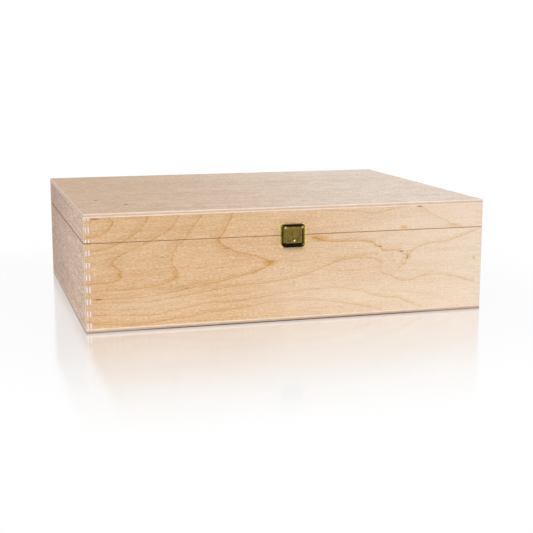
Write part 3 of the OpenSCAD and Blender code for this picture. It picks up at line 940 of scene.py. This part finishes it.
def bell(distance, reach):
    """1 at no distance and nearly 0 at twice the reach."""
    return np.exp(-((distance / reach) ** 2))


def round_outline(half_width, low, high, low_r, high_r):
    """An upright outline with rounded corners, counterclockwise from the lower left: quarter
    turns of CORNER_STEPS points, joined by straight runs of SIDE_STEPS more."""
    turn = np.linspace(0, math.pi / 2, CORNER_STEPS)
    run = np.linspace(0, 1, SIDE_STEPS + 2)[1:-1]
    corners = (
        (-half_width + low_r, low + low_r, low_r, math.pi),
        (half_width - low_r, low + low_r, low_r, 1.5 * math.pi),
        (half_width - high_r, high - high_r, high_r, 0),
        (-half_width + high_r, high - high_r, high_r, math.pi / 2),
    )
    arcs = [
        np.stack([x + r * np.cos(start + turn), z + r * np.sin(start + turn)], axis=1)
        for x, z, r, start in corners
    ]
    parts = []
    for arc, following in zip(arcs, arcs[1:] + arcs[:1]):
        parts += [arc, arc[-1] + run[:, None] * (following[0] - arc[-1])]
    return np.concatenate(parts)


def inside_rounded(x, z, half_width, low, high, corner_r):
    """Distance inside the outline of an upright rectangle with rounded corners."""
    side = np.abs(x) - half_width + corner_r
    tall = np.abs(z - (low + high) / 2) - (high - low) / 2 + corner_r
    beyond = np.hypot(np.maximum(side, 0), np.maximum(tall, 0))
    return corner_r - beyond - np.minimum(np.maximum(side, tall), 0)


def inside_field(x, z):
    """Distance inside the outline of the raised field."""
    low, high = cover_low[2] + FIELD_BELOW, cover_high[2] - FIELD_ABOVE
    return inside_rounded(x, z, cover_half - FIELD_SIDE, low, high, FIELD_CORNER)


def cover_relief(x, z):
    """How far the cover's face stands out: the field on its bevel, a groove along the bevel's
    foot, the dimple with a soft lip, and the top rolled round the pin."""
    depth = inside_field(x, z)
    out = face_out + field_rise * smooth_rise(depth, 0, BEVEL_MM)
    out -= GROOVE_DEEP * bell(depth + GROOVE_BEYOND, GROOVE_WIDE)
    dimple = np.hypot(x, z - cover_low[2] - DIMPLE_UP) / DIMPLE_R
    out -= DIMPLE_DEEP * (1 - smooth_rise(dimple, 0.1, 1.15))
    rolled = pin_out + np.sqrt(np.maximum(roll_r ** 2 - (z - pin_z) ** 2, 0))
    return np.where(z > pin_z, np.minimum(out, rolled), out)


def cover_masks(x, z):
    """Where the cover is dark and where it is bright. The dark is patina with painted shade and
    painted dark reflections: along the rim at the left, above and below, along the field's foot
    at the right, and in the dimple's upper left. The two upper corners and the dimple's lower
    right carry painted highlights, and the field's edges and the right rim are rubbed and
    painted bright."""
    up, down = z - cover_low[2], cover_high[2] - z
    rim = inside_rounded(x, z, cover_half, cover_low[2], cover_high[2], COVER_BOTTOM_R)
    foot = inside_field(x, z)
    side_start, side_end = cover_half - 3.6, cover_half - 2.2
    rightward = smooth_rise(x, side_start, side_end) * smooth_rise(down, 0.6, 1.6)
    rightward *= smooth_rise(up, 0.8, 2.4)
    leftward = smooth_rise(-x, side_start, side_end)
    # The dark places: patina in the groove, and painted shade and dark reflections along the rim,
    # at the field's foot, on the borders below and above the field and in the dimple's upper left
    border = bell(rim - 0.7 + 0.3 * leftward, 0.85 - 0.4 * leftward) * (1 - 0.85 * rightward)
    trench = bell(foot + 0.1, 0.75) * (0.3 + 0.7 * smooth_rise(x, 0, cover_half - 3))
    below = smooth_rise(foot, 0.9, -0.1)
    below *= smooth_rise(up, FIELD_BELOW + 1.6, FIELD_BELOW + 0.4) * (1 - rightward)
    above = smooth_rise(foot, 0.7, -0.1) * smooth_rise(down, FIELD_ABOVE + 1.2, FIELD_ABOVE)
    eye = bell(np.hypot(x + 0.7, up - DIMPLE_UP - 0.6), 0.9)
    # Painted highlights at the two upper corners and the dimple's lower right, and wear with
    # painted brightness along the field's edges and the right rim
    corner = np.hypot(np.abs(x) - cover_half + 2.6, down - 2.5)
    hollow = np.maximum.reduce([border, trench, below, above * 0.8, eye])
    glint = bell(np.hypot(x - 0.35, up - DIMPLE_UP + 0.35), 0.75)
    edge = bell(foot - BEVEL_MM, 0.35) * 0.3
    right_rim = rightward * bell(rim - 0.4, 0.5) * 0.6
    worn = np.maximum.reduce([bell(corner, 0.95), glint, edge, right_rim])
    return {"hollow": hollow * (1 - bell(corner, 1.1)), "worn": worn}


def cover_outline(inset):
    """The cover's outline, drawn in by the inset."""
    return round_outline(
        cover_half - inset, cover_low[2] + inset, cover_high[2] - inset,
        COVER_BOTTOM_R - inset, COVER_TOP_R - inset,
    )


def make_cover(material):
    """The clasp's cover, pressed from sheet. Rings of its rounded outline run from the back edge
    up the wall, round the edge by a quarter turn and then, scaled towards the dimple's middle,
    across the face. The relief gives each point's distance out, and Solidify the sheet."""
    outer = cover_outline(0)
    edge_start = cover_relief(outer[:, 0], outer[:, 1])
    over_pin = np.maximum(outer[:, 1] - pin_z, 0)
    behind = pin_out - np.sqrt(np.maximum(roll_r ** 2 - over_pin ** 2, 0))
    notch = smooth_rise(np.abs(outer[:, 0]), notch_half + 0.2, notch_half)
    behind = behind + (notch_out - back_out) * notch * (outer[:, 1] < cover_low[2] + 1)
    wall_top = np.maximum(edge_start - COVER_EDGE_R, behind)
    rings, depths = [], []
    for share in np.linspace(0, 1, WALL_RINGS):
        rings.append(outer)
        depths.append(behind + share * (wall_top - behind))
    for angle in np.linspace(0, math.pi / 2, EDGE_RINGS)[1:]:
        inner = cover_outline(COVER_EDGE_R * (1 - math.cos(angle)))
        rings.append(inner)
        depths.append(wall_top + (edge_start - wall_top) * math.sin(angle))
    middle = np.array([0, cover_low[2] + DIMPLE_UP])
    for share in 1 - np.linspace(0, 1, FACE_RINGS)[1:-1]:
        across = middle + share * (inner - middle)
        rings.append(across)
        depths.append(cover_relief(across[:, 0], across[:, 1]))
    flat = np.concatenate(rings + [middle[None]])
    out = np.concatenate(depths + [cover_relief(middle[:1], middle[1:])])
    points = np.stack([flat[:, 0], -wood_front_mm - out, flat[:, 1]], axis=1) * MM
    count, rows = len(outer), len(rings)
    step = np.arange(count)
    ahead = (step + 1) % count
    low = np.arange(rows - 1)[:, None] * count
    quads = np.stack([low + step, low + ahead, low + count + ahead, low + count + step], axis=-1)
    last = (rows - 1) * count
    cap = np.stack([last + step, last + ahead, np.full(count, rows * count)], axis=-1)
    faces = quads.reshape(-1, 4).tolist() + cap.tolist()
    masks = cover_masks(flat[:, 0], flat[:, 1])
    piece = mesh_piece("clasp_cover_sheet", points, faces, material, masks)
    sheet = piece.modifiers.new("sheet", "SOLIDIFY")
    sheet.thickness = SHEET_MM * MM
    sheet.offset = -1
    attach(piece, "clasp_flap")
    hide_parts("clasp_cover")


# The width of a broken edge, the gap that joins two points, and the least angle of an edge
EDGE_BREAK_MM = 0.15
JOIN_MM = 0.002
SHARP_ANGLE = math.radians(50)


def round_edges(name):
    """Takes the sharpness off a metal part's edges, once its loose triangles are joined."""
    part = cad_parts[name]
    joined = part.modifiers.new("joined", "WELD")
    joined.merge_threshold = JOIN_MM * MM
    edges = part.modifiers.new("edges", "BEVEL")
    edges.width = EDGE_BREAK_MM * MM
    edges.segments = 2
    edges.limit_method = "ANGLE"
    edges.angle_limit = SHARP_ANGLE


hinge_brass = brass("hinge_brass", PLATED_BRASS, WORN_BRASS, tarnish=0.3)
nail_brass = brass("nail_brass", NAIL_BRASS, DULL_BRASS, tarnish=0.5)
plate_brass = brass(
    "plate_brass", GOLD_BRASS, BRIGHT_BRASS,
    tarnish=0.5, rims=(cover_low[2] + 0.1, cover_high[2] - 0.1),
)
cover_brass = brass("cover_brass", AGED_BRASS, OLIVE_BRASS, masks=True)
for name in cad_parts:
    if "nails" in name:
        finish_node(name, nail_brass)
    elif "hinge" in name:
        finish_node(name, hinge_brass)
    elif "clasp" in name:
        finish_node(name, plate_brass)
    if name.endswith("_leaf") or name in ("clasp_lid_plate", "clasp_keeper"):
        round_edges(name)
make_cover(cover_brass)


FLOOR_REACH = 8.0
FLOOR_WHITE = tone(225, 225, 226)
FLOOR_SHADE = tone(150, 112, 84)
# The floor's mirror: its strength, its reach outwards and to the sides, and the share of it that
# is left beside the box, from so far out
MIRROR_SHARE = 0.6
MIRROR_END, SIDE_MIRROR_END = 0.28, 0.15
MIRROR_BESIDE, BESIDE_START = 0.5, 0.01
MIRROR_GREY = tone(252, 252, 252)
MIRROR_ROUGHNESS = 0.12
# The painted contact shadow at the foot: how far it reaches, and how strong it is at the ends
# of a side
CONTACT_REACH = 0.0022
CONTACT_AT_ENDS = 0.4
GLOW_NEAR = 0.91
GLOW_START, GLOW_END = 0.02, 0.2


def seen_directly(wires):
    """1 for what the eye sees, also in a mirror or through glass, and 0 for what lights."""
    path = wires.node("LightPath")
    rays = [wires.out(path, f"Is {kind} Ray") for kind in ("Camera", "Glossy", "Transmission")]
    return wires.math("MAXIMUM", wires.math("MAXIMUM", rays[0], rays[1]), rays[2])


def make_floor():
    """White floor that mirrors the box at its foot, less further out and to its sides. To the
    eye it glows as white as the backdrop, but less near the box, where the lamps light the rest
    and the box's shadow shows. Right at the foot a painted contact shadow darkens it, most along
    each side's middle."""
    material, wires, shader = new_material("floor_white")
    tree = material.node_tree
    tree.nodes.remove(shader)
    half = (wood_high - wood_low) / 2
    spot = wires.node("TexCoord")
    across, away, _ = wires.split(wires.out(spot, "Object"))
    beyond_x = wires.math("MAXIMUM", abs(across) - half.x, 0.0)
    beyond_y = wires.math("MAXIMUM", abs(away) - half.y, 0.0)
    distance = wires.span(beyond_x, beyond_y)
    # A painted contact shadow along the foot, strongest along each side's middle
    to_ends = wires.step(abs(across), half.x, half.x * 0.5)
    contact_shadow = to_ends * (1 - CONTACT_AT_ENDS) + CONTACT_AT_ENDS
    clear = 1.0 - wires.step(distance, CONTACT_REACH, 0.0) * contact_shadow
    beside = wires.between(wires.step(beyond_x, 0.0, BESIDE_START), 1.0, MIRROR_BESIDE)
    beside = wires.step(beyond_x, SIDE_MIRROR_END, 0.0) * beside
    mirror = wires.step(distance, MIRROR_END, 0.0) * clear * beside * MIRROR_SHARE
    glow = wires.between(wires.step(distance, GLOW_START, GLOW_END), GLOW_NEAR, 1.0) * clear
    lit = wires.node("BsdfDiffuse", wires.blend(clear, FLOOR_SHADE, FLOOR_WHITE))
    glowing = wires.node("Emission", WHITE, 1.0)
    share = seen_directly(wires) * glow
    base = wires.node("MixShader", share, wires.out(lit), wires.out(glowing))
    gloss = wires.node("BsdfGlossy", MIRROR_GREY, MIRROR_ROUGHNESS)
    mixed = wires.node("MixShader", mirror, wires.out(base), wires.out(gloss))
    wires.feed(tree.nodes["Material Output"].inputs["Surface"], wires.out(mixed))
    corners = np.array([(-1, -1, 0), (1, -1, 0), (1, 1, 0), (-1, 1, 0)]) * FLOOR_REACH
    mesh_piece("floor", corners, [(0, 1, 2, 3)], material)


WORLD_LIGHT = 0.47


def make_surroundings():
    """White all round to the eye and in reflections, and an even soft light."""
    world = bpy.data.worlds.new("studio")
    bpy.context.scene.world = world
    world.use_nodes = True
    wires = Wires(world.node_tree)
    strength = wires.between(seen_directly(wires), WORLD_LIGHT, 1.0)
    wires.fill(world.node_tree.nodes["Background"], Color=WHITE, Strength=strength)


def make_lamp(name, place, size, power):
    """A square soft lamp that points at the middle of the box."""
    light = bpy.data.lights.new(name, "AREA")
    light.size = size
    light.energy = power
    lamp = bpy.data.objects.new(name, light)
    middle = (wood_low + wood_high) / 2
    lamp.location = place
    lamp.rotation_euler = (middle - Vector(place)).to_track_quat("-Z", "Y").to_euler()
    bpy.context.scene.collection.objects.link(lamp)


# Each lamp's name, its place and its width in metres, and its power in watts
LAMPS = (
    ("key", (-0.85, -1.65, 1.5), 1.2, 19.3),
    ("fill", (1.5, -1.2, 0.9), 1.2, 7.5),
    ("top", (0.1, 0.2, 2.0), 1.6, 9),
)
CAMERA_TURN = math.radians(-15.85)
CAMERA_TILT = math.radians(10.54)
CAMERA_RANGE = 1.0949
CAMERA_RIGHT = 0.0162
CAMERA_UP = 0.0212
CAMERA_LENS_MM = 76.25
SENSOR_MM = 36


def make_camera():
    """The camera looks along its own -Z. It stands back from the origin by its range, and its
    line of sight passes the origin a little to the right and above."""
    back = Vector((
        math.sin(CAMERA_TURN) * math.cos(CAMERA_TILT),
        -math.cos(CAMERA_TURN) * math.cos(CAMERA_TILT),
        math.sin(CAMERA_TILT),
    ))
    right = Vector((math.cos(CAMERA_TURN), math.sin(CAMERA_TURN), 0))
    up = back.cross(right)
    data = bpy.data.cameras.new("camera")
    data.lens = CAMERA_LENS_MM
    data.sensor_width = SENSOR_MM
    camera = bpy.data.objects.new("camera", data)
    turn = Matrix((right, up, back)).transposed()
    place = back * CAMERA_RANGE + right * CAMERA_RIGHT + up * CAMERA_UP
    camera.matrix_world = Matrix.Translation(place) @ turn.to_4x4()
    bpy.context.scene.collection.objects.link(camera)
    bpy.context.scene.camera = camera


make_floor()
make_surroundings()
for settings in LAMPS:
    make_lamp(*settings)
make_camera()
bpy.context.scene.view_settings.view_transform = "Standard"
